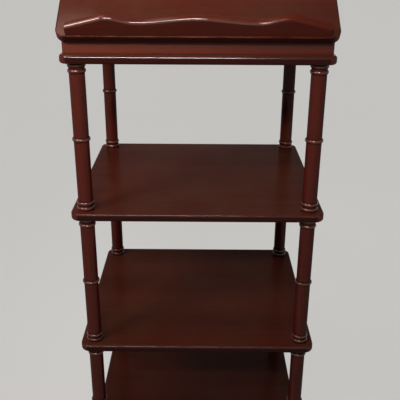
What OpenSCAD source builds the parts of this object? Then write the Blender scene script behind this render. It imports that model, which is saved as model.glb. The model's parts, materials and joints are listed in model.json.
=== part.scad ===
// Floor-standing book stand in turned mahogany: a reading slope with a wavy book ledge, hinged on a
// shallow apron above a top board and three open shelves. A folding strut behind the slope stands in
// notched strips and sets its angle. Millimetres, +Z up, +X to the reader's right, +Y away from the
// reader. The origin is on the floor, under the middle of the stand's outline seen from above.

/* [Boards] */
// Width of the shelves and the top board
board_w = 406; // [360:1:480]
// Depth of the shelves and the top board
board_d = 371; // [345:1:440]
// Thickness of the shelves and the top board
board_t = 13; // [11:0.5:18]
// Radius of the board corners seen from above
corner_r = 16; // [10:0.5:30]
// Rounding of the upper edges of the shelves, and of all edges of the reading slope
arris_r = 2.2; // [1:0.1:3]
// Rounding of the lower edges of the shelves
under_r = 4; // [1:0.5:6]
// Rounding of the top board's edges
top_edge_r = 4; // [2:0.5:5]

/* [Tiers] */
// Height from one shelf to the next
tier_pitch = 250; // [200:1:320]
// Height of the lowest shelf's underside above the floor
foot_h = 60; // [50:1:120]

/* [Posts] */
// Diameter of the post shafts
post_d = 24; // [20:0.5:30]
// Distance of the post centres from the board edges
post_inset = 23; // [20:0.5:32]
// Distance from a post end to the middle of its first bead
bead_end = 4.2; // [3.5:0.1:6]
// Spacing of the two beads at a post end
bead_pitch = 8.5; // [7:0.1:12]
// Section radius of the end beads
bead_r = 3.6; // [3:0.1:4.5]
// How far the end beads stand proud of the shaft
bead_proud = 2; // [1:0.1:2.5]
// Section radius of the ring at half height
ring_r = 3.3; // [3:0.1:4.5]
// How far the ring stands proud of the shaft
ring_proud = 2.3; // [1:0.1:2.6]

/* [Feet] */
// Diameter of a foot where it meets its glide
toe_d = 18; // [14:0.5:22]
// Distance from the rim of a foot to the rim of its glide
glide_margin = 1; // [0:0.25:2]
// Thickness of the floor glides
glide_h = 3; // [2:0.5:6]
// Diameter of the stem that holds a glide in its foot
glide_stem_d = 4; // [3:0.5:6]
// Length of the stem that holds a glide in its foot
glide_stem_l = 10; // [6:1:16]

/* [Apron] */
// Height of the apron rails
apron_h = 19; // [17:0.5:30]
// Width of the apron rails
rail_w = 18; // [16:0.5:24]
// Distance of the apron from the front edge of the top board
apron_front_inset = 21; // [16:0.5:28]
// Distance of the apron from the sides of the top board
apron_side_inset = 4; // [2:0.5:10]
// Distance of the apron from the back edge of the top board
apron_back_inset = 6; // [2:0.5:10]

/* [Reading slope] */
// Thickness of the reading slope
slope_t = 13; // [11:0.5:18]
// Angle of the reading slope above the level at rest
slope_angle = 38; // [25:1:40]
// Distance from the hinge line forward to the slope's front edge
slope_over = 6; // [5:0.5:10]
// How far the slope stands out past the sides of the top board
slope_side_over = 3; // [0:0.5:10]
// Distance of the slope's back edge from the top board's back edge when it lies flat
slope_back_inset = 4.5; // [0:0.5:20]
// Radius of the slope's corners seen from above
slope_corner_r = 16; // [12:0.5:40]

/* [Ledge] */
// Distance of the ledge ends from the sides of the slope
ledge_end_inset = 16; // [8:0.5:25]
// Distance of the ledge's face behind the slope's front edge
ledge_setback = 2; // [0:0.5:6]
// Thickness of the ledge
ledge_t = 13; // [9:0.5:16]
// Height of the ledge at its ends
ledge_end_h = 15.5; // [12:0.5:22]
// Height of the two side humps
hump_h = 33; // [28:0.5:45]
// Distance of the side humps from the ends of the ledge
hump_end = 60; // [45:1:75]
// Radius of the side humps on their outer flanks
hump_r = 30; // [15:1:40]
// Height of the ledge in its two hollows
hollow_h = 24.5; // [18:0.5:26]
// Distance from a side hump to the hollow beside it
hollow_run = 42; // [30:1:60]
// Height of the middle hump
crown_h = 32.5; // [28:0.5:45]

/* [Hinges] */
// Distance of the slope hinges from the sides of the top board
hinge_end = 83; // [65:1:100]
// Distance from a strut hinge to the strut arm beside it
strut_hinge_gap = 35; // [30:1:45]
// Width of a hinge leaf along its pin
leaf_w = 44; // [30:1:48]
// Reach of a hinge leaf from its pin
leaf_d = 16; // [14:0.5:18]
// Thickness of a hinge leaf
leaf_t = 1.2; // [1:0.1:2]
// Radius of the hinge barrels
barrel_r = 2.8; // [2.4:0.1:3.5]
// Radius of the hinge pins
pin_r = 1.3; // [1:0.1:1.6]

/* [Strut] */
// Room between the folded strut and the rear apron rail
strut_room = 19; // [8:0.5:40]
// Thickness of the strut frame
strut_t = 11; // [10:0.5:12]
// Distance of the strut's head rail from its hinge line
strut_setback = 5; // [4:0.5:6]
// Width of the strut's head rail
strut_rail_w = 20; // [18:0.5:30]
// Width of a strut arm
arm_w = 14; // [12:0.5:20]
// Distance of the strut arms from the sides of the top board
arm_end = 108; // [100:1:112]
// Radius of the foot bar
bar_r = 3.5; // [2.5:0.1:4]
// How far the foot bar runs past the notched strips
bar_over = 6; // [0:0.5:15]

/* [Notched strips] */
// Width of a notched strip
strip_w = 14; // [10:0.5:20]
// Distance from a strut arm to the notched strip beside it
strip_gap = 4; // [2:0.5:10]
// Depth of the notches
notch_depth = 3; // [2:0.1:3.4]
// Change of the slope's angle from one notch to the next
notch_step = 7; // [5:0.5:7.5]
// Number of notches above the rest notch, and below it
notch_side = 2; // [1:1:2]
// Length of a strip past its last notches
strip_end = 16; // [14:0.5:24]

/* [Fasteners] */
// Diameter of the studs that join posts, boards and feet
stud_d = 8; // [6:0.5:10]
// Depth of the studs in the posts and feet
stud_bite = 25; // [15:1:35]
// Wood left above the studs in the top board
stud_cover = 4; // [3:0.5:6]
// Shank and head diameter of the screws that hold the apron rails
apron_screw = [4, 8];
// Depth of those screws in the rails
apron_bite = 9; // [6:0.5:10]
// Shank and head diameter of the screws that hold the ledge
ledge_screw = [3.5, 7];
// Depth of those screws in the ledge
ledge_bite = 12; // [8:0.5:14]
// Shank and head diameter of the screws that hold the notched strips
strip_screw = [3, 5.6];
// Depth of those screws in the top board
strip_bite = 6.5; // [4:0.5:8]
// Shank and head diameter of the hinge screws
hinge_screw = [2.2, 4.6];
// Length of the hinge screws
hinge_screw_l = 7.5; // [5:0.5:7.5]
// Diameter of the dowels between the strut's head rail and its arms
dowel_d = 6; // [5:0.5:7]
// Depth of those dowels in each piece
dowel_bite = 12; // [8:0.5:14]

/* [Clearances] */
// Clearance around pins, studs, screws and leaves
fit = 0.05; // [0.02:0.01:0.1]
// Clearance between faces that move past each other
run_gap = 0.3; // [0.2:0.05:0.5]
// Seam between two hinged faces that lie shut
seam = 0.6; // [0.4:0.1:1]

/* [Hidden] */
$fn = 96;
slack = 1;
SIDES = [-1, 1];
TIERS = ["lower", "middle", "upper"];
BOARDS = ["shelf_lower", "shelf_middle", "shelf_upper", "top_board"];

function side_name(side) = side < 0 ? "left" : "right";
function end_name(end) = end < 0 ? "front" : "rear";
function corner_name(side, end) = str(end_name(end), "_", side_name(side));

// Distances of hinges and strut arms from the middle
hinge_x = board_w / 2 - hinge_end;
arm_x = board_w / 2 - arm_end;
strut_hinge_x = arm_x - strut_hinge_gap;

// Hinge line, reading slope and ledge: the slope's own frame lies on the hinge line
barrel_out = barrel_r + run_gap;
hinge_in = apron_front_inset - barrel_out;
slope_w = board_w + 2 * slope_side_over;
slope_front = -slope_over;
slope_l = board_d - slope_back_inset - hinge_in - slope_front;
slope_bottom = seam / 2;
slope_top = slope_bottom + slope_t;
ledge_half = slope_w / 2 - ledge_end_inset;
ledge_front = slope_front + ledge_setback;
ledge_rise = max(hump_h, crown_h);
ledge_steps = 64;
ledge_reach = (slope_top + ledge_rise) * sin(slope_angle) - ledge_front * cos(slope_angle) - hinge_in;

// Crests and hollows of the ledge; the run from its end touches the hump's arc at the hump's foot
hump_x = ledge_half - hump_end;
hollow_x = hump_x - hollow_run;
hump_centre = [hump_x, hump_h - hump_r];
end_run = [ledge_half, ledge_end_h] - hump_centre;
touch_angle = atan2(end_run[1], end_run[0]) + acos(hump_r / norm(end_run));
hump_foot = hump_centre + hump_r * [cos(touch_angle), sin(touch_angle)];

// Places in the stand's own frame
mid_y = max(ledge_reach, 0) / 2;
top_z = board_z(len(TIERS)) + board_t;
hinge_y = mid_y - board_d / 2 + hinge_in;
hinge_z = top_z + apron_h + seam / 2;
function board_z(level) = foot_h + level * tier_pitch;
function post_at(side, end) = [side * (board_w / 2 - post_inset), mid_y + end * (board_d / 2 - post_inset)];

post_l = tier_pitch - board_t;
foot_wood_h = foot_h - glide_h;
function stud_top(level) = level < len(TIERS) ? board_t + stud_bite : board_t - stud_cover;

// Apron rails
rail_l = board_w - 2 * apron_side_inset;
front_rail_y = mid_y - board_d / 2 + apron_front_inset + rail_w / 2;
rear_rail_y = mid_y + board_d / 2 - apron_back_inset - rail_w / 2;
side_rail_l = rear_rail_y - front_rail_y - rail_w;
side_rail_y = (front_rail_y + rear_rail_y) / 2;
side_rail_x = board_w / 2 - apron_side_inset - rail_w / 2;

// Strut: its foot is lowest at the rest angle and lifts a little either way
foot_drop = seam / 2 + strut_t / 2;
foot_lead = foot_drop * tan(slope_angle);
strut_reach = rear_rail_y - rail_w / 2 - hinge_y - strut_room - strut_t / 2;
strut_pivot = (strut_reach - foot_lead) / 2;
strut_l = strut_pivot + foot_lead;
arm_front = strut_setback + strut_rail_w;
foot_rest_drop = foot_drop / cos(slope_angle);
strip_h = apron_h + seam / 2 - foot_rest_drop - bar_r - run_gap;
strip_x = arm_x + arm_w / 2 + strip_gap + strip_w / 2;
bar_half = strip_x + strip_w / 2 + bar_over;
notch_r = bar_r + run_gap;
NOTCH_ANGLES = [for (i = [-notch_side:notch_side]) slope_angle + i * notch_step];
strip_front = foot_y(max(NOTCH_ANGLES)) - strip_end;
strip_back = foot_y(min(NOTCH_ANGLES)) + strip_end;
function foot_y(angle) = strut_reach * cos(angle) - foot_drop * sin(angle);

// Screw places
leaf_screw_x = leaf_w / 3;
leaf_screw_y = (barrel_out + leaf_d) / 2;
knuckle_l = (leaf_w - 2 * run_gap) / 3;
knuckle_step = knuckle_l + run_gap;
ledge_screw_y = ledge_front + ledge_t / 2;
LEDGE_SCREW_X = [hinge_x / 2, (hinge_x + leaf_w / 2 + ledge_half) / 2];
STRIP_SCREW_Y = [strip_front + strip_end / 2.4, strip_back - strip_end / 2.4];
APRON_SCREWS = concat(
    [for (side = SIDES, y = [front_rail_y, rear_rail_y]) [side * hinge_x / 2, y]],
    [for (side = SIDES, end = SIDES) [side * side_rail_x, side_rail_y + end * side_rail_l / 4]]);

MAHOGANY = [0.34, 0.14, 0.10];
POST_WOOD = [0.29, 0.11, 0.09];
INNER_WOOD = [0.40, 0.22, 0.14];
BRASS = [0.72, 0.56, 0.28];
STEEL = [0.62, 0.62, 0.64];
NYLON = [0.20, 0.18, 0.17];

// Band along one face of a board's section, l wide and as high as its edges' rounding r
module rounded_band(l, r, y, middle_y) {
    translate([r - l / 2, y])
        square([l - 2 * r, r]);
    for (side = SIDES)
        translate([side * (l / 2 - r), middle_y])
            circle(r = r);
}

// Section of a board, l wide and t thick, with rounded edges and its underside at y = 0
module eased_section(l, t, upper, lower) {
    translate([-l / 2, lower])
        square([l, t - upper - lower]);
    rounded_band(l, upper, t - upper, t - upper);
    rounded_band(l, lower, 0, lower);
}

// Quarter of a disc with the edge of a board, between +X and +Y
module eased_corner(r, t, upper, lower) {
    rotate_extrude(angle = 90)
        intersection() {
            eased_section(2 * r, t, upper, lower);
            translate([0, -slack])
                square([r + slack, t + 2 * slack]);
        }
}

// Board with rounded corners and edges, its underside at z = 0
module eased_board(w, d, t, r, upper, lower) {
    rotate([90, 0, 90])
        linear_extrude(w - 2 * r, center = true)
            eased_section(d, t, upper, lower);
    rotate([90, 0, 0])
        linear_extrude(d - 2 * r, center = true)
            eased_section(w, t, upper, lower);
    for (x = SIDES, y = SIDES)
        translate([x * (w / 2 - r), y * (d / 2 - r), 0])
            rotate([0, 0, atan2(y, x) - 45])
                eased_corner(r, t, upper, lower);
}

// Turned ring round a shaft of diameter d
module bead(d, r, proud, z) {
    translate([0, 0, z])
        rotate_extrude()
            translate([d / 2 + proud - r, 0])
                circle(r = r);
}

// Bore for one end of a stud, from z = 0 upwards
module stud_bore(depth) {
    translate([0, 0, -slack])
        cylinder(d = stud_d + 2 * fit, h = depth + fit + slack);
}

module at_posts(z) {
    for (side = SIDES, end = SIDES)
        translate(concat(post_at(side, end), z))
            children();
}

// Rod along X, centred
module rod(r, l) {
    rotate([0, 90, 0])
        cylinder(r = r, h = l, center = true);
}

// Countersunk screw: size is [shank, head], its head is flush with z = 0 and its point is down
module screw_form(size, l) {
    sink = (size[1] - size[0]) / 2;
    point = size[0];
    translate([0, 0, -sink])
        cylinder(d1 = size[0], d2 = size[1], h = sink);
    translate([0, 0, point - l])
        cylinder(d = size[0], h = l - point);
    translate([0, 0, -l])
        cylinder(d1 = size[0] / 3, d2 = size[0], h = point);
}

module screw(size, l) {
    slot_w = size[1] / 7;
    slot_deep = (size[1] - size[0]) / 5;
    difference() {
        screw_form(size, l);
        translate([-size[1], -slot_w / 2, -slot_deep])
            cube([2 * size[1], slot_w, slot_deep + slack]);
    }
}

module screw_hole(size, l) {
    screw_form([size[0] + 2 * fit, size[1] + 2 * fit], l + fit);
}

// Frames that move: the slope about its hinge line, the strut about its own
module on_slope() {
    translate([0, hinge_y, hinge_z])
        rotate([slope_angle, 0, 0])
            children();
}

module on_strut_hinge() {
    on_slope()
        translate([0, strut_pivot, 0])
            children();
}

module on_strut() {
    on_strut_hinge()
        rotate([-2 * slope_angle, 0, 0])
            children();
}

// Hinge leaf in its shut place: up is 1 for the leaf above the seam and -1 for the one below
module hinge_leaf(up) {
    own = up > 0 ? [0] : [-knuckle_step, knuckle_step];
    other = up > 0 ? [-knuckle_step, knuckle_step] : [0];
    difference() {
        union() {
            translate([-leaf_w / 2, 0, up > 0 ? seam / 2 : -seam / 2 - leaf_t])
                cube([leaf_w, leaf_d, leaf_t]);
            for (x = own)
                translate([x, 0, 0])
                    rod(barrel_r, knuckle_l);
        }
        rod(pin_r + fit, leaf_w + slack);
        for (x = other)
            translate([x, 0, 0])
                rod(barrel_r + run_gap, knuckle_l + 2 * run_gap);
        at_leaf_screws(up)
            screw_hole(hinge_screw, hinge_screw_l);
    }
}

module at_leaf_screws(up) {
    for (x = SIDES)
        translate([x * leaf_screw_x, leaf_screw_y, up * seam / 2])
            rotate([up > 0 ? 180 : 0, 0, 0])
                children();
}

// What a hinge leaf takes out of the wood that carries it
module leaf_recess(up) {
    low = up > 0 ? seam / 2 - slack : -seam / 2 - leaf_t - fit;
    translate([-leaf_w / 2 - fit, 0, low])
        cube([leaf_w + 2 * fit, leaf_d + fit, leaf_t + fit + slack]);
    at_leaf_screws(up)
        screw_hole(hinge_screw, hinge_screw_l);
}

// Room for the hinge barrel in the underside of the slope
module barrel_recess() {
    rod(barrel_r + run_gap, leaf_w + 2 * run_gap);
}

module at_hinges(x) {
    for (side = SIDES)
        translate([side * x, 0, 0])
            children();
}

// Boards

module board(level) {
    top = level == len(TIERS);
    upper = top ? top_edge_r : arris_r;
    lower = top ? top_edge_r : under_r;
    color(MAHOGANY)
        difference() {
            translate([0, mid_y, board_z(level)])
                eased_board(board_w, board_d, board_t, corner_r, upper, lower);
            at_posts(board_z(level))
                stud_bore(stud_top(level));
            if (top) {
                apron_screw_holes();
                strip_screw_holes();
            }
        }
}

// Turned posts and feet

module end_beads(z, up) {
    for (i = [0, 1])
        bead(post_d, bead_r, bead_proud, z + up * (bead_end + i * bead_pitch));
}

module post(tier, side, end) {
    color(POST_WOOD)
        translate(concat(post_at(side, end), board_z(tier) + board_t))
            difference() {
                union() {
                    cylinder(d = post_d, h = post_l);
                    end_beads(0, 1);
                    end_beads(post_l, -1);
                    bead(post_d, ring_r, ring_proud, post_l / 2);
                }
                stud_bore(stud_bite);
                translate([0, 0, post_l])
                    mirror([0, 0, 1])
                        stud_bore(stud_bite);
            }
}

module foot(side, end) {
    color(POST_WOOD)
        translate(concat(post_at(side, end), glide_h))
            difference() {
                union() {
                    cylinder(d1 = toe_d, d2 = post_d, h = foot_wood_h);
                    end_beads(foot_wood_h, -1);
                }
                translate([0, 0, -slack])
                    cylinder(d = glide_stem_d + 2 * fit, h = glide_stem_l + fit + slack);
                translate([0, 0, foot_wood_h])
                    mirror([0, 0, 1])
                        stud_bore(stud_bite);
            }
}

module foot_glides() {
    color(NYLON)
        at_posts(0) {
            cylinder(d = toe_d - 2 * glide_margin, h = glide_h);
            cylinder(d = glide_stem_d, h = glide_h + glide_stem_l);
        }
}

module studs(level) {
    color(STEEL)
        at_posts(board_z(level) - stud_bite)
            cylinder(d = stud_d, h = stud_bite + stud_top(level));
}

// Apron

module cross_rail(y) {
    translate([-rail_l / 2, y - rail_w / 2, top_z])
        cube([rail_l, rail_w, apron_h]);
}

module at_apron_screws() {
    for (place = APRON_SCREWS)
        translate([place[0], place[1], board_z(len(TIERS))])
            rotate([180, 0, 0])
                children();
}

module apron_screw_holes() {
    at_apron_screws()
        screw_hole(apron_screw, board_t + apron_bite);
}

module apron_front() {
    color(MAHOGANY)
        difference() {
            cross_rail(front_rail_y);
            apron_screw_holes();
            translate([0, hinge_y, hinge_z])
                at_hinges(hinge_x)
                    leaf_recess(-1);
        }
}

module apron_rear() {
    color(MAHOGANY)
        difference() {
            cross_rail(rear_rail_y);
            apron_screw_holes();
        }
}

module apron_side(side) {
    color(MAHOGANY)
        difference() {
            translate([side * side_rail_x - rail_w / 2, side_rail_y - side_rail_l / 2, top_z])
                cube([rail_w, side_rail_l, apron_h]);
            apron_screw_holes();
        }
}

module apron_screws() {
    color(STEEL)
        at_apron_screws()
            screw(apron_screw, board_t + apron_bite);
}

// Notched strips

module at_strip_screws() {
    for (side = SIDES, y = STRIP_SCREW_Y)
        translate([side * strip_x, hinge_y + y, top_z + strip_h])
            children();
}

module strip_screw_holes() {
    at_strip_screws()
        screw_hole(strip_screw, strip_h + strip_bite);
}

module notched_strip(side) {
    notch_z = top_z + strip_h - notch_depth + notch_r;
    color(INNER_WOOD)
        difference() {
            translate([side * strip_x - strip_w / 2, hinge_y + strip_front, top_z])
                cube([strip_w, strip_back - strip_front, strip_h]);
            for (angle = NOTCH_ANGLES)
                translate([side * strip_x, hinge_y + foot_y(angle), notch_z])
                    rod(notch_r, strip_w + 2 * slack);
            strip_screw_holes();
        }
}

module strip_screws() {
    color(BRASS)
        at_strip_screws()
            screw(strip_screw, strip_h + strip_bite);
}

// Slope hinges

module rail_leaf(side) {
    color(BRASS)
        translate([side * hinge_x, hinge_y, hinge_z])
            hinge_leaf(-1);
}

module slope_hinge_pins() {
    color(STEEL)
        translate([0, hinge_y, hinge_z])
            at_hinges(hinge_x)
                rod(pin_r, leaf_w);
}

module rail_leaf_screws() {
    color(BRASS)
        translate([0, hinge_y, hinge_z])
            at_hinges(hinge_x)
                at_leaf_screws(-1)
                    screw(hinge_screw, hinge_screw_l);
}

module slope_leaf(side) {
    color(BRASS)
        on_slope()
            translate([side * hinge_x, 0, 0])
                hinge_leaf(1);
}

module slope_leaf_screws() {
    color(BRASS)
        on_slope()
            at_hinges(hinge_x)
                at_leaf_screws(1)
                    screw(hinge_screw, hinge_screw_l);
}

// Reading slope and ledge

module at_ledge_screws() {
    for (side = SIDES, x = LEDGE_SCREW_X)
        translate([side * x, ledge_screw_y, slope_bottom])
            rotate([180, 0, 0])
                children();
}

module reading_slope() {
    color(MAHOGANY)
        on_slope()
            difference() {
                translate([0, slope_front + slope_l / 2, slope_bottom])
                    eased_board(slope_w, slope_l, slope_t, slope_corner_r, arris_r, arris_r);
                at_hinges(hinge_x) {
                    leaf_recess(1);
                    barrel_recess();
                }
                translate([0, strut_pivot, 0])
                    at_hinges(strut_hinge_x) {
                        leaf_recess(1);
                        barrel_recess();
                    }
                ledge_screw_holes();
            }
}

module ledge_screw_holes() {
    at_ledge_screws()
        screw_hole(ledge_screw, slope_t + ledge_bite);
}

// Height of the ledge at a distance x from its middle: waves to the hump, then a straight run to the end
function wave(from, to, share) = from + (to - from) * (1 - cos(180 * share)) / 2;
function ledge_h(x) =
    x < hollow_x ? wave(crown_h, hollow_h, x / hollow_x)
    : x < hump_x ? wave(hollow_h, hump_h, (x - hollow_x) / hollow_run)
    : x < hump_foot[0] ? hump_h - hump_r + sqrt(pow(hump_r, 2) - pow(x - hump_x, 2))
    : hump_foot[1] + (ledge_end_h - hump_foot[1]) * (x - hump_foot[0]) / (ledge_half - hump_foot[0]);

module ledge() {
    edge = [for (i = [-ledge_steps:ledge_steps]) ledge_half * i / ledge_steps];
    outline = concat([[ledge_half, 0], [-ledge_half, 0]], [for (x = edge) [x, ledge_h(abs(x))]]);
    color(MAHOGANY)
        on_slope()
            difference() {
                translate([0, ledge_front + ledge_t, slope_top])
                    rotate([90, 0, 0])
                        linear_extrude(ledge_t)
                            polygon(outline);
                ledge_screw_holes();
            }
}

module ledge_screws() {
    color(STEEL)
        on_slope()
            at_ledge_screws()
                screw(ledge_screw, slope_t + ledge_bite);
}

// Strut hinges, upper half on the slope

module strut_plate(side) {
    color(BRASS)
        on_strut_hinge()
            translate([side * strut_hinge_x, 0, 0])
                hinge_leaf(1);
}

module strut_plate_screws() {
    color(BRASS)
        on_strut_hinge()
            at_hinges(strut_hinge_x)
                at_leaf_screws(1)
                    screw(hinge_screw, hinge_screw_l);
}

module strut_hinge_pins() {
    color(STEEL)
        on_strut_hinge()
            at_hinges(strut_hinge_x)
                rod(pin_r, leaf_w);
}

// Strut

module strut_leaf(side) {
    color(BRASS)
        on_strut()
            translate([side * strut_hinge_x, 0, 0])
                hinge_leaf(-1);
}

module strut_leaf_screws() {
    color(BRASS)
        on_strut()
            at_hinges(strut_hinge_x)
                at_leaf_screws(-1)
                    screw(hinge_screw, hinge_screw_l);
}

module dowel_row(d, l) {
    for (side = SIDES)
        translate([side * arm_x, arm_front, -foot_drop])
            rotate([90, 0, 0])
                cylinder(d = d, h = l, center = true);
}

module strut_head_rail() {
    head_w = 2 * arm_x + arm_w;
    color(INNER_WOOD)
        on_strut()
            difference() {
                translate([-head_w / 2, strut_setback, -seam / 2 - strut_t])
                    cube([head_w, strut_rail_w, strut_t]);
                at_hinges(strut_hinge_x)
                    leaf_recess(-1);
                dowel_row(dowel_d + 2 * fit, 2 * (dowel_bite + fit));
            }
}

module strut_arm(side) {
    color(INNER_WOOD)
        on_strut()
            difference() {
                union() {
                    translate([side * arm_x - arm_w / 2, arm_front, -seam / 2 - strut_t])
                        cube([arm_w, strut_l - arm_front, strut_t]);
                    translate([side * arm_x, strut_l, -foot_drop])
                        rod(strut_t / 2, arm_w);
                }
                translate([0, strut_l, -foot_drop])
                    rod(bar_r + fit, 2 * bar_half);
                dowel_row(dowel_d + 2 * fit, 2 * (dowel_bite + fit));
            }
}

module strut_dowels() {
    color(INNER_WOOD)
        on_strut()
            dowel_row(dowel_d, 2 * dowel_bite);
}

module strut_foot_bar() {
    color(STEEL)
        on_strut()
            translate([0, strut_l, -foot_drop])
                rod(bar_r, 2 * bar_half);
}

for (level = [0:len(BOARDS) - 1])
    board(level);
for (tier = [0:len(TIERS) - 1], end = SIDES, side = SIDES)
    post(tier, side, end);
for (end = SIDES, side = SIDES)
    foot(side, end);
foot_glides();
studs(0);  // studs_lower
studs(1);  // studs_middle
studs(2);  // studs_upper
studs(3);  // studs_top
apron_front();
apron_rear();
apron_side(-1);  // apron_left
apron_side(1);  // apron_right
apron_screws();
notched_strip(-1);  // notched_strip_left
notched_strip(1);  // notched_strip_right
strip_screws();
slope_hinge_pins();
rail_leaf_screws();
reading_slope();
ledge();
ledge_screws();
slope_leaf_screws();
strut_plate_screws();
strut_hinge_pins();
strut_head_rail();
strut_arm(-1);  // strut_arm_left
strut_arm(1);  // strut_arm_right
strut_dowels();
strut_foot_bar();
strut_leaf_screws();
for (side = SIDES) {
    rail_leaf(side);
    slope_leaf(side);
    strut_plate(side);
    strut_leaf(side);
}
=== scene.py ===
import json
from collections import namedtuple
from functools import reduce
from math import cos, pi, radians, sin

import bmesh
import bpy
from bpy.props import FloatProperty, FloatVectorProperty, PointerProperty
from bpy.types import Operator, Panel, PropertyGroup
from mathutils import Matrix, Vector


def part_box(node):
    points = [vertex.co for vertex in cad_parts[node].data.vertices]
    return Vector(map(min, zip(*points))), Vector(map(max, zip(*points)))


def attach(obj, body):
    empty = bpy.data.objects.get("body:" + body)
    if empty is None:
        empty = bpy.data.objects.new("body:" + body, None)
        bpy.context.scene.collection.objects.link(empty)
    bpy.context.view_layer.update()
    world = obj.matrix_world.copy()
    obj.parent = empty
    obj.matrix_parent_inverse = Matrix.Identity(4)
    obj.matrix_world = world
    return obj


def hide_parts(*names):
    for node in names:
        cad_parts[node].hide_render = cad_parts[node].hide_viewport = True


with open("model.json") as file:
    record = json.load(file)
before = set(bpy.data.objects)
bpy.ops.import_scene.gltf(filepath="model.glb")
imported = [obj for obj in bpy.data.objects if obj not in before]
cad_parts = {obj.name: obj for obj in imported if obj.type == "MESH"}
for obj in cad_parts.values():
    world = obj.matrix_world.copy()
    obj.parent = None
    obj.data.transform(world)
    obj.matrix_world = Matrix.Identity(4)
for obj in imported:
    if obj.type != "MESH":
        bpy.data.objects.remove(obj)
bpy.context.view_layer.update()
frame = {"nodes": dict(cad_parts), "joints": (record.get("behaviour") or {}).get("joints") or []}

bl_info = {
    "name": "Book Stand",
    "version": (1, 0, 0),
    "blender": (4, 5, 0),
    "location": "View3D > Sidebar > Book Stand",
    "description": "Finishes a mahogany book stand with eased edges, lacquer, brass and a plain stage",
    "category": "Object",
}

NODES = frame["nodes"]
MM = 0.001

SIDES = ("left", "right")
BOARDS = ("shelf_lower", "shelf_middle", "shelf_upper", "top_board")
TURNINGS = tuple(n for n in NODES if n.startswith(("post_", "foot_")) and n != "foot_glides")
CROSS_RAILS = ("apron_front", "apron_rear")
SIDE_RAILS = ("apron_left", "apron_right")
STRIPS = ("notched_strip_left", "notched_strip_right")
ARMS = ("strut_arm_left", "strut_arm_right")
HINGE_HALVES = ("rail_leaf", "slope_leaf", "strut_plate", "strut_leaf")
LEAVES = tuple(f"{half}_{side}" for half in HINGE_HALVES for side in SIDES)
BRASS_SCREWS = ("strip_screws", *(f"{half}_screws" for half in HINGE_HALVES))
STEEL_RODS = ("slope_hinge_pins", "strut_hinge_pins", "strut_foot_bar")
STUDS = ("studs_lower", "studs_middle", "studs_upper", "studs_top")
STEEL_SCREWS = ("apron_screws", "ledge_screws")

# The slope's joint lies on its hinge line, and its lower limit lays the slope flat
SLOPE_JOINT = next(j for j in frame["joints"] if j["name"] == "slope_tilt")
HINGE = Vector(SLOPE_JOINT["pos_m"])
SLOPE_ANGLE = -radians(SLOPE_JOINT["range_deg"][0])
TO_SLOPE = Matrix.Rotation(-SLOPE_ANGLE, 4, "X") @ Matrix.Translation(-HINGE)
SLOPE_UP = Matrix.Rotation(SLOPE_ANGLE, 3, "X") @ Vector((0, 0, 1))

BOARD_LOW, BOARD_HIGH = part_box("top_board")
SHELF_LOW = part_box("shelf_lower")[0]
MIDDLE_Y = (BOARD_LOW.y + BOARD_HIGH.y) / 2
BOARD_T = BOARD_HIGH.z - BOARD_LOW.z
TIER_PITCH = (BOARD_LOW.z - SHELF_LOW.z) / 3
POST_LOW, POST_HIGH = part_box("post_lower_rear_right")
POST_AXIS = (POST_LOW + POST_HIGH) / 2

# Millimetres from a post's end to the middle of each groove beside its beads and ring, and half its width
GROOVES = ((0.3, 1.2), (8.45, 1.7), (16.4, 1.6), (114.8, 1.4), (122.2, 1.4))
# Distance from a post's axis at which the beads and rings begin to be rubbed, and are rubbed fully
CREST_FROM, CREST_FULL = 12.4 * MM, 13.4 * MM
# Stretch of the ledge, towards its right end, over which its polish and its painted highlight fade, as
# painted shade
DULL_FROM, DULL_FULL = 90 * MM, 130 * MM
# Bands along a board's edges, in millimetres inwards from its outline or down from its upper face: a mark
# begins at the first number and is full from the second
ARRIS_BAND = (3.0, 0.4)
DARKENED_FULL = 0.3
DARKENED_END_BAND = (1.6, 0.4)
UPPER_BAND = (0.3, 0.1)
SHINE_REACH_BAND = (3.0, 0.8)
SHINE_RISE_BAND = (4.5, 2.8)

# Fineness of the marks in the wood and metal, in marks per metre along X, Y and Z; grain runs along X
RIBBONS = (1.1, 15, 15)
STREAKS = (3.2, 130, 130)
FIBRES = (16, 900, 900)
PORES = (55, 1500, 1500)
CLOUDS = (7, 9, 9)
INNER_STREAKS = (4, 150, 150)
INNER_FIBRES = (20, 1000, 1000)
INNER_PORES = (60, 1500, 1500)
RUB_AND_HIGHLIGHT_PATCHES = (38, 38, 38)
DUST_PATCHES = (9, 7, 9)
DUST_SPECKS = 26.0
BRASS_MARKS = (60, 900, 900)
STEEL_MARKS = (900, 60, 900)
TARNISH = (90, 90, 90)
NYLON_GRAINS = (700, 700, 700)
NYLON_SCUFFS = (60, 60, 200)
FLOOR_MOTTLE = (3, 3, 3)

# How much of a mark's own colour shows, from 0 for none of it to 1 for nothing else
CLOUD_SHARE = 0.35
PORE_SHARE = 0.55
# The rubbed colour is also a painted highlight on arrises, bead crests and the ledge's rounded edge
RUB_AND_HIGHLIGHT_SHARE = 0.35
DARKENED_SHARE = 0.85
# The grooves' dark colour is painted shade
GROOVE_SHADE_SHARE = 0.7
# The film's patches also paint soft patches of light on the boards' upper faces
FILM_SHARE, FILM_MORE = 0.05, 0.16
SPECK_SHARE = 0.45
# The rails' orange cast is partly their own colour and partly painted light; what it loses towards the right
# is painted shade
RAIL_CAST, RAIL_SHADE_TO_RIGHT = 0.38, 0.30
LEDGE_CAST = 0.10
INNER_PORE_SHARE = 0.6
TARNISH_SHARE = 0.75
SCUFF_SHARE = 0.6
# How much of the lacquer is missing where a surface isn't polished
BOARD_BARE = 0.7
LEDGE_BARE = 0.8
TURNING_BARE = 0.45
# How much of the ledge's polish and painted highlight is lost on its flat upper side and, as painted shade,
# at its right end, and how far its polished edge also gets the lighter colour of wear and painted highlight
FLAT_LOSS = 0.6
DULL_LOSS = 0.92
LEDGE_RUB_AND_HIGHLIGHT = 0.6

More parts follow.
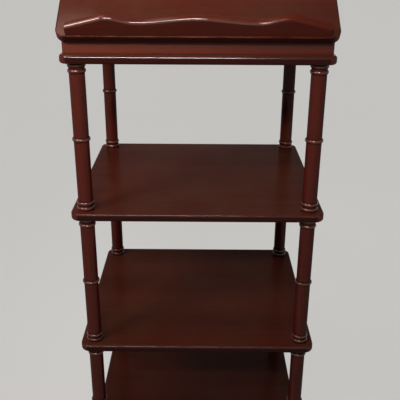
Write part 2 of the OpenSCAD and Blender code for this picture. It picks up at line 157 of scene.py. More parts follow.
# Turns that bring X onto a piece's grain, and moves that cut each piece from another place in the wood
UPRIGHT = (0, radians(90), 0)
FRONT_TO_BACK = (0, 0, radians(90))
ALONG_ARMS = (SLOPE_ANGLE, 0, radians(90))
BOARD_CUT = (0.37, 0.11, 0)
SLOPE_CUT = (0.2, 0.45, 0.3)
RAIL_CUT = (0.1, 0.6, 0.2)
LEDGE_CUT = (0.5, 0.2, 0.7)

# Polish of a board's arris and of its upper face, roughness of its lacquer as a multiple of the usual one,
# and width in millimetres of the dark tone along its edges
BoardLook = namedtuple("BoardLook", "gloss sheen haze toned")
TOP_LOOK = BoardLook(gloss=1.0, sheen=0.8, haze=4 / 3, toned=1.6)
SHELF_LOOK = BoardLook(gloss=0.5, sheen=0.08, haze=2.0, toned=1.6)
# The slope's wider dark band is painted shade over the strip of the slope below the ledge
SLOPE_LOOK = BoardLook(gloss=0.0, sheen=0.18, haze=1.0, toned=3.6)

# Tolerances for the pieces that are copied from a node
MERGE_DISTANCE = 2e-6
FLAT_ANGLE = radians(0.2)
CORNER_ANGLE = radians(50)
SHADE_ANGLE = radians(40)
# Least area, in square metres, of a face whose edges are eased
RAIL_FACE = 2e-4
LEDGE_FACE = 1.5e-4
STRUT_FACE = 8e-5
# How close to an end of the ledge, or to its underside, an edge counts as lying there
END_DEPTH = 0.1 * MM
BASE_HEIGHT = 0.5 * MM

# Stage, in metres
FLOOR_HALF = 40.0
FLOOR_FRONT = -40.0
FLOOR_BACK = 3.2
FLOOR_MERGE_DISTANCE = 1e-5
SWEEP_RADIUS = 0.6
SWEEP_TOP = 1.0
SWEEP_STEPS = 24
WALL_RADIUS = 39.0
WALL_FOOT = -10.0
WALL_TOP = 10.5
WALL_SEGMENTS = 96
# Share of the floor's own even glow where the camera sees it, and shade of its mottle
GLOW_SHARE = 0.7
MOTTLE_SHADE = 0.97
ROOM_COLOUR = (1.0, 0.97, 0.92, 1.0)
# In millimetres, as for the focal length
SENSOR_WIDTH = 36

Lamp = namedtuple("Lamp", "place aim size colour spread mirrored")
LAMPS = {
    "key": Lamp(
        place=(-1.05, -0.98, 1.55), aim=(-0.12, -0.15, 0.84), size=(0.45, 0.45),
        colour=(1, 0.84, 0.74), spread=radians(62), mirrored=True),
    "front": Lamp(
        place=(-0.2, -1.45, 1.5), aim=(-0.12, -0.15, 0.82), size=(0.7, 0.12),
        colour=(1, 0.95, 0.9), spread=radians(52), mirrored=True),
    "side": Lamp(
        place=(-0.71, -0.27, 1.94), aim=(-0.14, -0.17, 0.88), size=(0.45, 0.9),
        colour=(1, 0.78, 0.66), spread=radians(90), mirrored=True),
    "rear": Lamp(
        place=(0.9, 2.2, 0.3), aim=(0, 0, 0.85), size=(1.4, 0.5),
        colour=(1, 0.97, 0.94), spread=radians(46), mirrored=False),
}


class Field:
    """A value that varies over a surface; arithmetic on it adds Math nodes to its material."""

    def __init__(self, finish, socket):
        self.finish = finish
        self.socket = socket

    def math(self, operation, *others):
        return self.finish.math(operation, self, *others)

    def __add__(self, other):
        return self.math("ADD", other)

    def __sub__(self, other):
        return self.math("SUBTRACT", other)

    def __rsub__(self, other):
        return self.finish.math("SUBTRACT", other, self)

    def __mul__(self, other):
        return self.math("MULTIPLY", other)

    def __pow__(self, other):
        return self.math("POWER", other)

    def __abs__(self):
        return self.math("ABSOLUTE")

    __radd__ = __add__
    __rmul__ = __mul__

    def most(self, other):
        """The greater of the two at each point."""
        return self.math("MAXIMUM", other)

    def step(self, low, high):
        """0 below low, 1 above high and a smooth rise between them."""
        settings = {"interpolation_type": "SMOOTHSTEP"}
        return self.finish.node("MapRange", settings, {"Value": self, "From Min": low, "From Max": high})

    def within(self, far, near):
        """1 from near millimetres below zero upwards, falling to 0 at far millimetres below zero."""
        return self.step(-far * MM, -near * MM)

    def around(self, middle, half):
        """1 at the middle, falling smoothly to 0 at half a width away."""
        return 1 - abs(self - middle).step(0.0, half)


class Finish:
    """One procedural material."""

    def __init__(self, name):
        self.material = bpy.data.materials.new(name)
        self.material.use_nodes = True
        self.tree = self.material.node_tree
        self.tree.nodes.clear()

    def node(self, kind, settings=None, sockets=None, out=0):
        """Adds a node, sets it up, fills or links its sockets and returns one of its outputs."""
        made = self.tree.nodes.new("ShaderNode" + kind)
        for key, value in (settings or {}).items():
            setattr(made, key, value)
        for key, value in (sockets or {}).items():
            if isinstance(value, Field):
                self.tree.links.new(value.socket, made.inputs[key])
            else:
                made.inputs[key].default_value = value
        return Field(self, made.outputs[out]) if made.outputs else None

    def math(self, operation, *values):
        return self.node("Math", {"operation": operation}, dict(enumerate(values)))

    def place(self):
        """Point of the surface in the shared frame at rest."""
        return self.node("TexCoord", out="Object")

    def facing(self):
        """Direction that the surface faces at rest."""
        return self.node("TexCoord", out="Normal")

    def turned(self, vector, turn=(0, 0, 0), shift=(0, 0, 0)):
        return self.node("Mapping", None, {"Vector": vector, "Rotation": turn, "Location": shift})

    def noise(self, vector, scale, detail=3.0, rough=0.55, bend=0.0):
        """Noise stretched by the scale along each axis."""
        stretched = self.node("Mapping", None, {"Vector": vector, "Scale": scale})
        return self.node("TexNoise", None, {
            "Vector": stretched,
            "Scale": 1.0,
            "Detail": detail,
            "Roughness": rough,
            "Distortion": bend,
        })

    def blend(self, share, first, second):
        """First colour where the share is 0, and second where it is 1."""
        settings = {"data_type": "RGBA", "blend_type": "MIX"}
        return self.node("Mix", settings, {0: share, 6: first, 7: second}, out=2)

    def axes(self, vector):
        """The vector's X, Y and Z."""
        split = self.node("SeparateXYZ", None, {0: vector})
        return [Field(self, socket) for socket in split.socket.node.outputs]

    def bump(self, height, strength, distance):
        return self.node("Bump", None, {"Height": height, "Strength": strength, "Distance": distance})

    def surface(self, sockets):
        """Ends the material with one Principled surface."""
        shader = self.node("BsdfPrincipled", None, sockets)
        self.node("OutputMaterial", None, {"Surface": shader})
        return self.material


def opaque(colour):
    """The colour with full alpha, as colour sockets take it."""
    return (*colour, 1.0)


def wood_grain(finish, wood, turn=(0, 0, 0), shift=(0, 0, 0)):
    """Colour, roughness and height of mahogany with its grain along X after the turn."""
    along = finish.turned(finish.place(), turn, shift)
    ribbon = finish.noise(along, RIBBONS, detail=2.0, bend=0.4)
    streak = finish.noise(along, STREAKS, detail=4.0, rough=0.6)
    fibre = finish.noise(along, FIBRES, detail=2.0)
    pore = finish.noise(along, PORES, detail=1.0).step(0.60, 0.72)
    cloud = finish.noise(along, CLOUDS, detail=3.0)
    tone = (ribbon * 0.5 + streak * 0.35 + fibre * 0.15).step(0.26, 0.74)
    colour = finish.blend(tone, opaque(wood.dark_colour), opaque(wood.light_colour))
    colour = finish.blend(cloud.step(0.35, 0.75) * CLOUD_SHARE, colour, opaque(wood.red_colour))
    colour = finish.blend(pore * PORE_SHARE, colour, opaque(wood.pore_colour))
    rough = wood.roughness + (fibre - 0.5) * 0.10 + pore * 0.10 + (cloud - 0.5) * 0.08
    height = fibre * 0.35 + streak * 0.25 - pore * 0.8
    return colour, rough, height


def lacquered(finish, wood, colour, rough, height, polish=0.0, bare=0.0, haze=1.0):
    """Surface of wood under a clear satin lacquer, more of it where polished and less where bare."""
    return finish.surface({
        "Base Color": colour,
        "Roughness": rough,
        "Specular IOR Level": 0.0,
        "Coat Weight": (polish * (1 - wood.lacquer) + wood.lacquer) * (1 - bare),
        "Coat Roughness": wood.lacquer_roughness * haze,
        "Coat IOR": wood.lacquer_index,
        "Normal": finish.bump(height, strength=0.16, distance=0.06 * MM),
    })


def rubbed_and_highlit(finish, wood, colour, rough, mask):
    """Lighter, duller wood where the mask says that hands and dust cloths have rubbed the edge, its lighter
    colour also a painted highlight along that edge.
    """
    patches = finish.noise(finish.place(), RUB_AND_HIGHLIGHT_PATCHES, detail=4.0).step(0.38, 0.68)
    rub_and_highlight = mask * patches
    return finish.blend(rub_and_highlight * RUB_AND_HIGHLIGHT_SHARE, colour, opaque(wood.rub_and_highlight_colour)), rough + rub_and_highlight * 0.08


def dust_and_light_patches(finish, wood, colour, mask):
    """A thin patchy film of dust where the mask says, whose patches also paint soft patches of light, and a
    few pale specks.
    """
    patches = finish.noise(finish.place(), DUST_PATCHES, detail=4.0).step(0.3, 0.7)
    colour = finish.blend((patches * FILM_MORE + FILM_SHARE) * mask, colour, opaque(wood.film_colour))
    settings = {"feature": "F1"}
    sockets = {"Vector": finish.place(), "Scale": DUST_SPECKS, "Randomness": 1.0}
    near = finish.node("TexVoronoi", settings, sockets, out="Distance")
    chance = finish.axes(finish.node("TexVoronoi", settings, sockets, out="Color"))[0]
    specks = (1 - near.step(0.012, 0.030)) * chance.step(0.78, 0.80) * mask
    return finish.blend(specks * SPECK_SHARE, colour, opaque(wood.dust_colour))


def board_finish(name, wood, look, low, high, shift, to_flat=None):
    """Boards with eased edges: the edge's face is darker, and on the slope this is painted shade below the
    ledge; the upper arris is glossy and lighter, partly wear and partly a painted highlight.
    """
    finish = Finish(name)
    colour, rough, height = wood_grain(finish, wood, shift=shift)
    place = finish.place()
    if to_flat:
        place = finish.turned(place, to_flat.to_euler(), to_flat.to_translation())
    x, y, z = finish.axes(place)
    middle, half = (low + high) / 2, (high - low) / 2
    # The reach is 0 at the board's outline, the rise is 0 at its upper face, and both are negative inside
    reach = (abs(x - middle.x) - half.x).most(abs(y - middle.y) - half.y)
    rise = z - high.z
    arris = reach.within(*ARRIS_BAND) * rise.within(*ARRIS_BAND)
    # Darker band along the edge faces; on the slope, where it is wider, it is painted shade below the ledge
    toned = reach.within(look.toned, DARKENED_FULL) * (1 - rise.within(*DARKENED_END_BAND) * look.gloss)
    colour = finish.blend(toned * DARKENED_SHARE, colour, opaque(wood.pore_colour))
    # Lighter colour on the arris: wear and a painted highlight
    colour, rough = rubbed_and_highlit(finish, wood, colour, rough, arris)
    upper = rise.within(*UPPER_BAND)
    colour = dust_and_light_patches(finish, wood, colour, upper)
    shine = reach.within(*SHINE_REACH_BAND) * rise.within(*SHINE_RISE_BAND) * look.gloss
    polish = shine.most(upper * look.sheen)
    bare = toned * (1 - shine) * BOARD_BARE
    return lacquered(finish, wood, colour, rough, height, polish, bare, look.haze)


def rail_finish(name, wood, turn=(0, 0, 0), shift=(0, 0, 0)):
    """Apron rails, more orange than the boards, partly their own colour and partly painted light, most at
    their left and giving way to painted shade towards their right.
    """
    finish = Finish(name)
    colour, rough, height = wood_grain(finish, wood, turn, shift)
    x = finish.axes(finish.place())[0]
    # Painted light from the left: the cast is strongest at the left end and gives way to painted shade
    # towards the right
    cast_and_painted_light = RAIL_CAST - x.step(BOARD_LOW.x, BOARD_HIGH.x) * RAIL_SHADE_TO_RIGHT
    colour = finish.blend(cast_and_painted_light, colour, opaque(wood.rail_colour))
    return lacquered(finish, wood, colour, rough, height)


def ledge_finish(name, wood):
    """Ledge whose rounded upper side is glossy and lighter, from wear and a painted highlight, fading as
    painted shade towards its right end.
    """
    finish = Finish(name)
    colour, rough, height = wood_grain(finish, wood, shift=LEDGE_CUT)
    dot = {"operation": "DOT_PRODUCT"}
    upward = finish.node("VectorMath", dot, {0: finish.facing(), 1: SLOPE_UP}, out="Value")
    # Full where the surface leans over the rounding, and less on the flat upper side
    rounding = upward.step(0.1, 0.5) * (1 - upward.step(0.96, 0.995) * FLAT_LOSS)
    x = finish.axes(finish.place())[0]
    shine = rounding * (1 - x.step(DULL_FROM, DULL_FULL) * DULL_LOSS)
    colour = finish.blend(LEDGE_CAST, colour, opaque(wood.rail_colour))
    # The lighter colour on the rounded edge is wear and a painted highlight, lost towards the right end as
    # painted shade
    colour, rough = rubbed_and_highlit(finish, wood, colour, rough, shine * LEDGE_RUB_AND_HIGHLIGHT)
    return lacquered(finish, wood, colour, rough, height, shine, (1 - shine) * LEDGE_BARE)


def turned_finish(name, wood):
    """Turned posts: painted shade darkens the grooves, and the bead crests are glossy on their upper sides
    and lighter, partly wear and partly a painted highlight.
    """
    finish = Finish(name)
    colour, rough, height = wood_grain(finish, wood, UPRIGHT)
    x, y, z = finish.axes(finish.place())
    out_x = abs(x) - POST_AXIS.x
    out_y = abs(y - MIDDLE_Y) - (POST_AXIS.y - MIDDLE_Y)
    radius = (out_x * out_x + out_y * out_y) ** 0.5
    # Every tier is mirrored at its middle, so the distance from the nearer board goes up and down again
    tier_start = SHELF_LOW.z + BOARD_T / 2 - 2 * TIER_PITCH
    from_end = (z - tier_start).math("PINGPONG", TIER_PITCH / 2) - BOARD_T / 2
    # Painted shade in the grooves beside the beads and the ring
    grooves = reduce(Field.most, (from_end.around(middle * MM, half * MM) for middle, half in GROOVES))
    colour = finish.blend(grooves * GROOVE_SHADE_SHARE, colour, opaque(wood.pore_colour))
    crests = radius.step(CREST_FROM, CREST_FULL)
    colour, rough = rubbed_and_highlit(finish, wood, colour, rough, crests)
    upward = finish.axes(finish.facing())[2]
    polish = crests * upward.step(-0.25, 0.15)
    return lacquered(finish, wood, colour, rough, height, polish, (1 - polish) * TURNING_BARE)


def inner_finish(name, hardware, turn=(0, 0, 0)):
    """Thinly finished wood of the strut and the notched strips."""
    finish = Finish(name)
    along = finish.turned(finish.place(), turn)
    streak = finish.noise(along, INNER_STREAKS, detail=4.0, rough=0.6)
    fibre = finish.noise(along, INNER_FIBRES, detail=2.0)
    pore = finish.noise(along, INNER_PORES, detail=1.0).step(0.58, 0.70)
    colour = finish.blend(streak.step(0.3, 0.7), opaque(hardware.strut_dark), opaque(hardware.strut_light))
    colour = finish.blend(pore * INNER_PORE_SHARE, colour, opaque(hardware.strut_dark))
    return finish.surface({
        "Base Color": colour,
        "Roughness": 0.55 + (fibre - 0.5) * 0.2,
        "Specular IOR Level": 0.35,
        "Normal": finish.bump(fibre * 0.6 - pore, strength=0.35, distance=0.08 * MM),
    })


def metal_finish(name, bright, dull, roughness, brushed):
    """Metal with fine drawing marks and a dull bloom in patches."""
    finish = Finish(name)
    place = finish.place()
    marks = finish.noise(place, brushed, detail=2.0)
    bloom = finish.noise(place, TARNISH, detail=5.0, rough=0.65).step(0.42, 0.72)
    return finish.surface({
        "Base Color": finish.blend(bloom * TARNISH_SHARE, opaque(bright), opaque(dull)),
        "Metallic": 1.0,
        "Roughness": roughness + (marks - 0.5) * 0.12 + bloom * 0.16,
        "Normal": finish.bump(marks, strength=0.15, distance=0.03 * MM),
    })


def nylon_finish(name, hardware):
    """Fine-grained nylon with dusty scuffs."""
    finish = Finish(name)
    grains = finish.noise(finish.place(), NYLON_GRAINS, detail=3.0)
    scuffs = finish.noise(finish.place(), NYLON_SCUFFS, detail=4.0).step(0.5, 0.75)
    dusty = tuple(0.6 * c + 0.06 for c in hardware.glide_colour)
    return finish.surface({
        "Base Color": finish.blend(scuffs * SCUFF_SHARE, opaque(hardware.glide_colour), opaque(dusty)),
        "Roughness": 0.5 + (grains - 0.5) * 0.2 + scuffs * 0.15,
        "Normal": finish.bump(grains, strength=0.3, distance=0.05 * MM),
    })


def paint(material, nodes):
    """Gives the material to nodes that keep the shape of their solids."""
    for name in nodes:
        made = NODES[name]
        made.data.materials.clear()
        made.data.materials.append(material)


def solid_copy(node):
    """The node's surface as one closed mesh with whole flat faces."""
    mesh = bmesh.new()
    mesh.from_mesh(NODES[node].data)
    bmesh.ops.remove_doubles(mesh, verts=mesh.verts, dist=MERGE_DISTANCE)
    bmesh.ops.dissolve_limit(mesh, angle_limit=FLAT_ANGLE, verts=mesh.verts, edges=mesh.edges)
    return mesh


def sharp_edges(mesh, least_area):
    """Edges where a large flat face turns a corner."""
    return [
        edge for edge in mesh.edges
        if len(edge.link_faces) == 2
        and edge.calc_face_angle() > CORNER_ANGLE
        and max(face.calc_area() for face in edge.link_faces) > least_area
    ]


def ease(mesh, edges, width, segments):
    """Rounds the edges."""
    bmesh.ops.bevel(
        mesh, geom=edges, offset=width, offset_type="OFFSET", segments=segments, profile=0.5,
        affect="EDGES", clamp_overlap=True, material=-1)


def new_object(mesh, name, material):
    """Turns a bmesh into an object of the scene and lets go of the bmesh."""
    data = bpy.data.meshes.new(name)
    mesh.to_mesh(data)
    mesh.free()
    data.shade_smooth()
    data.materials.append(material)
    made = bpy.data.objects.new(name, data)
    bpy.context.scene.collection.objects.link(made)
    return made


def sort_by_place(parts, place):
    """Orders a bmesh's vertices or faces by place, because bevel's own order changes from run to run."""
    for index, part in enumerate(sorted(parts, key=lambda part: place(part)[:])):
        part.index = index
    parts.sort()


def finished_piece(mesh, name, node, body, material):
    """Turns a bmesh into a piece that stands for a node and rides on the node's body."""
    sort_by_place(mesh.verts, lambda vertex: vertex.co)
    sort_by_place(mesh.faces, lambda face: face.calc_center_median())
    made = new_object(mesh, name, material)
    made.data.set_sharp_from_angle(angle=SHADE_ANGLE)
    flats = made.modifiers.new("flat faces stay flat", "WEIGHTED_NORMAL")
    flats.keep_sharp = True
    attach(made, body)
    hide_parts(node)


class WoodSettings(PropertyGroup):
    """Colours and lacquer of the mahogany."""

    light_colour: FloatVectorProperty(
        name="Light grain", description="Colour of the light grain", subtype="COLOR",
        default=(0.105, 0.0182, 0.0112), min=0, max=1)
    dark_colour: FloatVectorProperty(
        name="Dark grain", description="Colour of the dark grain", subtype="COLOR",
        default=(0.058, 0.0102, 0.0064), min=0, max=1)
    red_colour: FloatVectorProperty(
        name="Red bloom", description="Colour of the redder patches", subtype="COLOR",
        default=(0.092, 0.0102, 0.0065), min=0, max=1)
    # This colour also paints the shade in the posts' grooves, and darkens the boards' edge faces, on the
    # slope as painted shade
    pore_colour: FloatVectorProperty(
        name="Pores", description="Colour of pores, toned edges and polish in the grooves", subtype="COLOR",
        default=(0.022, 0.005, 0.004), min=0, max=1)
    # Worn wood, and a painted highlight on arrises, bead crests and the ledge's edge
    rub_and_highlight_colour: FloatVectorProperty(
        name="Rubbed edges", description="Colour of rubbed edges and bead crests", subtype="COLOR",
        default=(0.20, 0.055, 0.030), min=0, max=1)
    dust_colour: FloatVectorProperty(
        name="Dust", description="Colour of specks of dust on the boards", subtype="COLOR",
        default=(0.30, 0.22, 0.18), min=0, max=1)
    # The film's patches also stand in for soft patches of light
    film_colour: FloatVectorProperty(
        name="Film", description="Colour of the thin film of dust on the boards", subtype="COLOR",
        default=(0.10, 0.070, 0.036), min=0, max=1)
    # On the rails this orange is partly painted light; on the ledge it is a tint of its wood
    rail_colour: FloatVectorProperty(
        name="Rails", description="Orange cast of the apron's rails and the ledge", subtype="COLOR",
        default=(0.22, 0.055, 0.026), min=0, max=1)
    roughness: FloatProperty(
        name="Roughness", description="Roughness of the wood under the lacquer", subtype="FACTOR",
        default=0.42, min=0, max=1)
    lacquer: FloatProperty(
        name="Lacquer", description="Strength of the clear lacquer where it isn't polished", subtype="FACTOR",
        default=0.24, min=0, max=1)
    lacquer_roughness: FloatProperty(
        name="Lacquer roughness", description="Roughness of the clear lacquer", subtype="FACTOR",
        default=0.12, min=0, max=1)
    lacquer_index: FloatProperty(
        name="Lacquer index", description="Refractive index of the clear lacquer", default=1.68, min=1, max=2)


class HardwareSettings(PropertyGroup):
    """Colours of the hinges, rods, glides and the strut."""

    strut_light: FloatVectorProperty(
        name="Strut, light", description="Light grain of the strut and the notched strips", subtype="COLOR",
        default=(0.20, 0.080, 0.042), min=0, max=1)
    strut_dark: FloatVectorProperty(
        name="Strut, dark", description="Dark grain of the strut and the notched strips", subtype="COLOR",
        default=(0.105, 0.036, 0.020), min=0, max=1)
    brass: FloatVectorProperty(
        name="Brass", description="Colour of clean brass", subtype="COLOR",
        default=(0.62, 0.43, 0.17), min=0, max=1)
    brass_dull: FloatVectorProperty(
        name="Dull brass", description="Colour of tarnished brass", subtype="COLOR",
        default=(0.30, 0.19, 0.075), min=0, max=1)
    steel: FloatVectorProperty(
        name="Steel", description="Colour of clean steel", subtype="COLOR",
        default=(0.50, 0.50, 0.51), min=0, max=1)
    steel_dull: FloatVectorProperty(
        name="Dull steel", description="Colour of dulled steel", subtype="COLOR",
        default=(0.30, 0.29, 0.285), min=0, max=1)
    glide_colour: FloatVectorProperty(
        name="Glides", description="Colour of the floor glides", subtype="COLOR",
        default=(0.050, 0.042, 0.038), min=0, max=1)


class EdgeSettings(PropertyGroup):
    """Rounding of the edges that are not rounded in the solids."""

    ledge_round: FloatProperty(
        name="Ledge rounding", description="Radius of the ledge's long edges", unit="LENGTH",
        default=4.5 * MM, min=0.5 * MM, max=6 * MM)
    rail_round: FloatProperty(
        name="Rail rounding", description="Radius of the apron's edges and the ledge's ends", unit="LENGTH",
        default=1.2 * MM, min=0.2 * MM, max=3 * MM)
    strut_round: FloatProperty(
        name="Strut rounding", description="Radius of the strut's and strips' edges", unit="LENGTH",
        default=0.8 * MM, min=0.2 * MM, max=2 * MM)


class StageSettings(PropertyGroup):
    """Floor, lamps and camera."""

    floor_colour: FloatVectorProperty(
        name="Floor", description="Colour of the floor and the backdrop", subtype="COLOR",
        default=(0.74, 0.73, 0.71), min=0, max=1)
    world_strength: FloatProperty(
        name="Room light", description="Strength of the even light from all sides",
        default=0.12, min=0, max=2)
    key_power: FloatProperty(
        name="Key lamp", description="Power of the lamp at the front left", unit="POWER", default=1.35, min=0)
    front_power: FloatProperty(
        name="Front lamp", description="Power of the lamp high in front", unit="POWER", default=1.5, min=0)
    side_power: FloatProperty(
        name="Side lamp", description="Power of the warm lamp over the left side", unit="POWER",
        default=1.2, min=0)
    rear_power: FloatProperty(
        name="Rear lamp", description="Power of the low lamp behind the right side", unit="POWER",
        default=2.6, min=0)
    focal_length: FloatProperty(
        name="Focal length", description="Focal length of the camera", unit="CAMERA", default=57.68, min=1)
    eye_x: FloatProperty(
        name="Eye, sideways", description="Camera's distance from the middle", unit="LENGTH",
        default=7.06 * MM)
    eye_back: FloatProperty(
        name="Eye, distance", description="Camera's distance from the boards' front edge", unit="LENGTH",
        default=927.3 * MM)
    eye_height: FloatProperty(
        name="Eye, height", description="Camera's height above the upper shelf", unit="LENGTH",
        default=416.1 * MM)
    pitch: FloatProperty(
        name="Pitch", description="How far the camera looks down", unit="ROTATION", default=0.3979)
    yaw: FloatProperty(
        name="Yaw", description="How far the camera looks to the right", unit="ROTATION", default=-0.0032)
    roll: FloatProperty(
        name="Roll", description="How far the camera leans", unit="ROTATION", default=0.0050)


class BOOKSTAND_OT_boards(Operator):
    """Lacquer the shelves, the top board and the reading slope"""

    bl_idname = "book_stand.boards"
    bl_label = "Boards"

    def execute(self, context):
        wood = context.scene.book_stand_wood
        for step, name in enumerate(BOARDS):
            low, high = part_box(name)
            look = TOP_LOOK if name == "top_board" else SHELF_LOOK
            shift = tuple(c * step for c in BOARD_CUT)
            paint(board_finish(f"mahogany {name}", wood, look, low, high, shift), [name])
        corners = [TO_SLOPE @ v.co for v in NODES["reading_slope"].data.vertices]
        low = Vector(map(min, *corners))
        high = Vector(map(max, *corners))
        slope = board_finish("mahogany slope", wood, SLOPE_LOOK, low, high, SLOPE_CUT, TO_SLOPE)
        paint(slope, ["reading_slope"])
        return {"FINISHED"}


class BOOKSTAND_OT_turnings(Operator):
    """Lacquer the turned posts and feet"""

    bl_idname = "book_stand.turnings"
    bl_label = "Posts and feet"

    def execute(self, context):
        paint(turned_finish("mahogany turnings", context.scene.book_stand_wood), TURNINGS)
        return {"FINISHED"}


class BOOKSTAND_OT_apron(Operator):
    """Ease the edges of the apron's rails and lacquer them"""

    bl_idname = "book_stand.apron"
    bl_label = "Apron"

    def execute(self, context):
        scene = context.scene
        cross = rail_finish("mahogany cross rails", scene.book_stand_wood, shift=RAIL_CUT)
        sides = rail_finish("mahogany side rails", scene.book_stand_wood, turn=FRONT_TO_BACK)
        for node in CROSS_RAILS + SIDE_RAILS:
            mesh = solid_copy(node)
            ease(mesh, sharp_edges(mesh, RAIL_FACE), scene.book_stand_edges.rail_round, segments=3)
            material = cross if node in CROSS_RAILS else sides
            finished_piece(mesh, f"{node}_eased", node, "stand", material)
        return {"FINISHED"}


class BOOKSTAND_OT_ledge(Operator):
    """Round the wavy ledge's edges and lacquer it"""

    bl_idname = "book_stand.ledge"
    bl_label = "Ledge"

    def execute(self, context):
        scene = context.scene
        edges = scene.book_stand_edges
        mesh = solid_copy("ledge")
        lowest = min((TO_SLOPE @ v.co).z for v in mesh.verts)
        end = max(v.co.x for v in mesh.verts) - END_DEPTH

        def raised(edge):
            return (TO_SLOPE @ ((edge.verts[0].co + edge.verts[1].co) / 2)).z > lowest + BASE_HEIGHT

        def at_end(edge):
            return min(abs(v.co.x) for v in edge.verts) > end

        long_edges = [edge for edge in sharp_edges(mesh, LEDGE_FACE) if raised(edge) and not at_end(edge)]
        ease(mesh, long_edges, edges.ledge_round, segments=5)
        # The ends come last, so that the roundings of the long edges run out into them
        end_edges = [edge for edge in mesh.edges if raised(edge) and at_end(edge)]
        ease(mesh, end_edges, edges.rail_round, segments=3)
        material = ledge_finish("mahogany ledge", scene.book_stand_wood)
        finished_piece(mesh, "ledge_rounded", "ledge", "slope", material)
        return {"FINISHED"}


class BOOKSTAND_OT_strut(Operator):
    """Ease and finish the strut and the notched strips"""

    bl_idname = "book_stand.strut"
    bl_label = "Strut and notched strips"

    def execute(self, context):
        scene = context.scene
        hardware = scene.book_stand_hardware
        across = inner_finish("inner wood across", hardware)
        back = inner_finish("inner wood front to back", hardware, FRONT_TO_BACK)
        sloped = inner_finish("inner wood arms", hardware, ALONG_ARMS)
        pieces = [("strut_head_rail", "strut", across)]
        pieces += [(name, "strut", sloped) for name in ARMS]
        pieces += [(name, "stand", back) for name in STRIPS]
        for node, body, material in pieces:
            mesh = solid_copy(node)
            ease(mesh, sharp_edges(mesh, STRUT_FACE), scene.book_stand_edges.strut_round, segments=2)
            finished_piece(mesh, f"{node}_eased", node, body, material)
        paint(sloped, ["strut_dowels"])
        return {"FINISHED"}


class BOOKSTAND_OT_hardware(Operator):
    """Finish hinges, screws, studs, rods and glides"""

    bl_idname = "book_stand.hardware"
    bl_label = "Hinges, rods and glides"

    def execute(self, context):
        hardware = context.scene.book_stand_hardware
        brass = metal_finish(
            "brass", hardware.brass, hardware.brass_dull, roughness=0.30, brushed=BRASS_MARKS)
        paint(brass, LEAVES + BRASS_SCREWS)
        steel = metal_finish(
            "steel", hardware.steel, hardware.steel_dull, roughness=0.34, brushed=STEEL_MARKS)
        paint(steel, STEEL_RODS + STUDS + STEEL_SCREWS)
        paint(nylon_finish("nylon", hardware), ["foot_glides"])
        return {"FINISHED"}


def pale_surface(name, colour):
    """Plain floor with a hardly visible mottle, shown pale where the lamps do not reach it."""
    finish = Finish(name)
    mottle = finish.noise(finish.place(), FLOOR_MOTTLE, detail=4.0)
    darker = tuple(MOTTLE_SHADE * c for c in colour)
    lit = finish.node("BsdfPrincipled", None, {
        "Base Color": finish.blend(mottle, opaque(darker), opaque(colour)),
        "Roughness": 0.85,
        "Specular IOR Level": 0.2,
    })
    glow = finish.node("Emission", None, {"Color": opaque(colour), "Strength": 1.0})
    seen = finish.node("LightPath", out="Is Camera Ray")
    for ray in ("Is Glossy Ray", "Is Transmission Ray"):
        seen = seen.most(finish.node("LightPath", out=ray))
    shown = finish.node("MixShader", None, {0: seen * GLOW_SHARE, 1: lit, 2: glow})
    finish.node("OutputMaterial", None, {"Surface": shown})
    return finish.material


def only(kind, geometry):
    """The vertices, edges or faces among what a bmesh operator returns."""
    return [part for part in geometry if isinstance(part, kind)]


def pull(mesh, edges, vector):
    """Extrudes a strip of faces from the edges and returns the edges at its far side."""
    grown = bmesh.ops.extrude_edge_only(mesh, edges=edges)["geom"]
    bmesh.ops.translate(mesh, verts=only(bmesh.types.BMVert, grown), vec=vector)
    return only(bmesh.types.BMEdge, grown)


def sweep(material):
    """Floor that curves up into a backdrop."""
    mesh = bmesh.new()
    ends = [mesh.verts.new((x, FLOOR_FRONT, 0)) for x in (-FLOOR_HALF, FLOOR_HALF)]
    bend = FLOOR_BACK - SWEEP_RADIUS
    far_edges = pull(mesh, [mesh.edges.new(ends)], (0, bend - FLOOR_FRONT, 0))
    turned = bmesh.ops.spin(
        mesh, geom=far_edges, cent=(0, bend, SWEEP_RADIUS), axis=(1, 0, 0), angle=pi / 2,
        steps=SWEEP_STEPS, use_duplicate=False)["geom_last"]
    pull(mesh, only(bmesh.types.BMEdge, turned), (0, 0, SWEEP_TOP - SWEEP_RADIUS))
    bmesh.ops.remove_doubles(mesh, verts=mesh.verts, dist=FLOOR_MERGE_DISTANCE)
    bmesh.ops.recalc_face_normals(mesh, faces=mesh.faces)
    new_object(mesh, "floor", material)


def far_wall(material):
    """Round wall far away, so that low views end on a pale ground as well."""
    mesh = bmesh.new()
    bmesh.ops.create_circle(mesh, cap_ends=False, segments=WALL_SEGMENTS, radius=WALL_RADIUS)
    bmesh.ops.translate(mesh, verts=mesh.verts, vec=(0, 0, WALL_FOOT))
    pull(mesh, mesh.edges, (0, 0, WALL_TOP - WALL_FOOT))
    new_object(mesh, "far_wall", material)


def light(name, lamp, power):
    """Rectangular lamp that shines on its aim."""
    data = bpy.data.lights.new(name, "AREA")
    data.color = lamp.colour
    data.spread = lamp.spread
    data.shape = "RECTANGLE"
    data.size, data.size_y = lamp.size
    data.energy = power
    made = bpy.data.objects.new(name, data)
    made.location = lamp.place
    made.rotation_euler = (Vector(lamp.aim) - Vector(lamp.place)).to_track_quat("-Z", "Y").to_euler()
    made.visible_glossy = lamp.mirrored
    bpy.context.scene.collection.objects.link(made)


def room_light(strength):
    """Even light from all sides."""
    world = bpy.data.worlds.new("room")
    bpy.context.scene.world = world
    world.use_nodes = True
    backdrop = world.node_tree.nodes["Background"]
    backdrop.inputs["Color"].default_value = ROOM_COLOUR
    backdrop.inputs["Strength"].default_value = strength


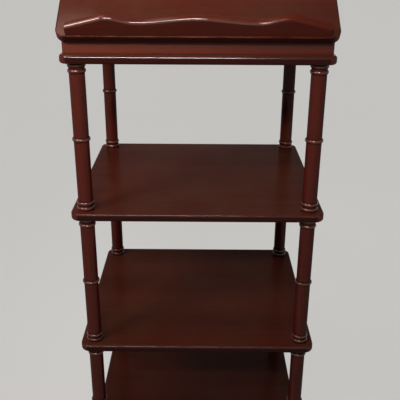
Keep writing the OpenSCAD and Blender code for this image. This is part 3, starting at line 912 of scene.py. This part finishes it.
def photo_camera(stage):
    """Camera with the photograph's standpoint, view direction and lens."""
    level = cos(stage.pitch)
    ahead = Vector((sin(stage.yaw) * level, cos(stage.yaw) * level, -sin(stage.pitch)))
    right = Vector((cos(stage.yaw), -sin(stage.yaw), 0))
    up = right.cross(ahead)
    upright = Matrix((right, up, -ahead)).transposed()
    data = bpy.data.cameras.new("camera")
    data.sensor_width = SENSOR_WIDTH
    data.lens = stage.focal_length
    made = bpy.data.objects.new("camera", data)
    shelf_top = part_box("shelf_upper")[1].z
    eye = Vector((stage.eye_x, BOARD_LOW.y - stage.eye_back, shelf_top + stage.eye_height))
    made.matrix_world = Matrix.Translation(eye) @ upright.to_4x4() @ Matrix.Rotation(stage.roll, 4, "Z")
    bpy.context.scene.collection.objects.link(made)
    bpy.context.scene.camera = made


class BOOKSTAND_OT_stage(Operator):
    """Set up the floor, the lamps and the camera"""

    bl_idname = "book_stand.stage"
    bl_label = "Stage"

    def execute(self, context):
        scene = context.scene
        stage = scene.book_stand_stage
        scene.view_settings.view_transform = "Standard"
        pale = pale_surface("pale floor", stage.floor_colour)
        sweep(pale)
        far_wall(pale)
        room_light(stage.world_strength)
        for name, lamp in LAMPS.items():
            light(name, lamp, getattr(stage, f"{name}_power"))
        photo_camera(stage)
        return {"FINISHED"}


PIECES = (
    BOOKSTAND_OT_boards,
    BOOKSTAND_OT_turnings,
    BOOKSTAND_OT_apron,
    BOOKSTAND_OT_ledge,
    BOOKSTAND_OT_strut,
    BOOKSTAND_OT_hardware,
    BOOKSTAND_OT_stage,
)
SETTINGS = {
    "book_stand_wood": WoodSettings,
    "book_stand_hardware": HardwareSettings,
    "book_stand_edges": EdgeSettings,
    "book_stand_stage": StageSettings,
}


class BOOKSTAND_PT_panel(Panel):
    """Pieces and settings of the book stand"""

    bl_idname = "BOOKSTAND_PT_panel"
    bl_label = "Book Stand"
    bl_space_type = "VIEW_3D"
    bl_region_type = "UI"
    bl_category = "Book Stand"

    def draw(self, context):
        for piece in PIECES:
            self.layout.operator(piece.bl_idname)
        for name, group in SETTINGS.items():
            box = self.layout.box()
            for key in group.__annotations__:
                box.prop(getattr(context.scene, name), key)


def register():
    for group in SETTINGS.values():
        bpy.utils.register_class(group)
    for name, group in SETTINGS.items():
        setattr(bpy.types.Scene, name, PointerProperty(type=group))
    for made in PIECES + (BOOKSTAND_PT_panel,):
        bpy.utils.register_class(made)


def unregister():
    for made in reversed(PIECES + (BOOKSTAND_PT_panel,)):
        bpy.utils.unregister_class(made)
    for name in SETTINGS:
        delattr(bpy.types.Scene, name)
    for group in reversed(SETTINGS.values()):
        bpy.utils.unregister_class(group)


def main():
    register()
    for piece in PIECES:
        group, name = piece.bl_idname.split(".")
        getattr(getattr(bpy.ops, group), name)()


if __name__ == "__main__":
    main()
